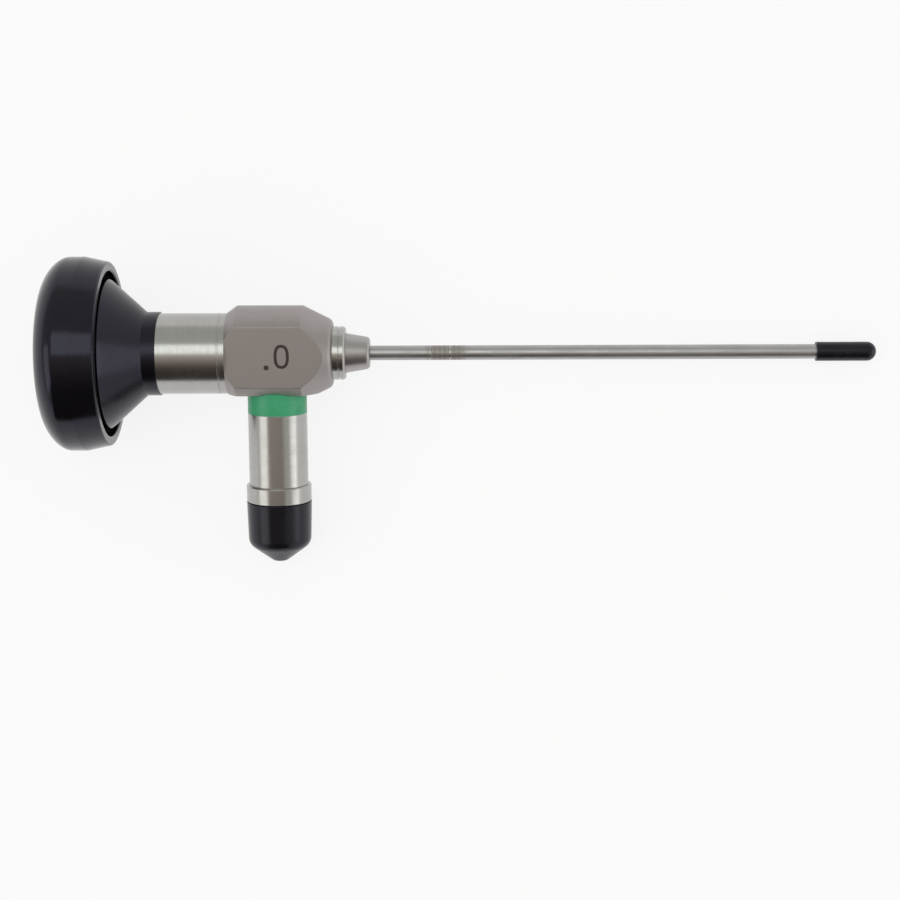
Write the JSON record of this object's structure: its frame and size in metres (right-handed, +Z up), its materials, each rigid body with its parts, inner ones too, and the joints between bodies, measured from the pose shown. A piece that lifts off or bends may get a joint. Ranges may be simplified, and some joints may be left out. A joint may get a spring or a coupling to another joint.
{
  "type": "rigid endoscope",
  "caption": "Rigid straight-view endoscope with an eyecup, a turned housing with milled faces, a side light post, a thin steel shaft and pull-off caps on the post and the tip.",
  "frame": {"origin": "on the table, under the middle of the bounding box of the instrument as it lies at rest", "axes": "+Z up from the table, +X along the instrument towards its tip seen from above, -Y the side that the light post points to"},
  "size_m": [0.1368, 0.0504, 0.0321],
  "materials": {
    "black_plastic": "satin",
    "black_rubber": "satin",
    "seal_rubber": "matte",
    "polished_steel": "polished",
    "satin_steel": "bead blasted",
    "blackened_metal": "black anodised",
    "brass": "turned",
    "optical_glass": "polished",
    "fibre_glass": "polished ends",
    "green_plastic": "satin"
  },
  "bodies": {
    "instrument": {"eyecup": "black_plastic", "window_ring": "blackened_metal", "eyepiece_window": "optical_glass", "lens_barrel": "blackened_metal", "lens_lock_ring": "blackened_metal", "ocular_lens": "optical_glass", "field_stop": "blackened_metal", "tube_bush": "brass", "eyecup_seal": "seal_rubber", "ocular_tube": "polished_steel", "block_seal": "seal_rubber", "housing_block": "satin_steel", "shaft_hub": "polished_steel", "shaft_sleeve": "polished_steel", "outer_shaft": "polished_steel", "light_fibres": "fibre_glass", "optic_tube": "polished_steel", "rod_lenses": "optical_glass", "spacer_tubes": "blackened_metal", "objective_lens": "optical_glass", "distal_window": "optical_glass", "post_core": "polished_steel", "colour_ring": "green_plastic", "post_sleeve": "polished_steel", "post_collar": "polished_steel", "fibre_ferrule": "polished_steel"},
    "post_cap": {"post_cap": "black_rubber"},
    "tip_cap": {"tip_cap": "black_rubber"}
  },
  "joints": [
    {"name": "post_cap_pull", "type": "slide", "parent": "instrument", "child": "post_cap", "axis": [-0.0263, -0.9718, -0.2342], "range_m": [0, 0.0075]},
    {"name": "tip_cap_pull", "type": "slide", "parent": "instrument", "child": "tip_cap", "axis": [0.9938, 0, -0.1114], "range_m": [0, 0.009]}
  ]
}
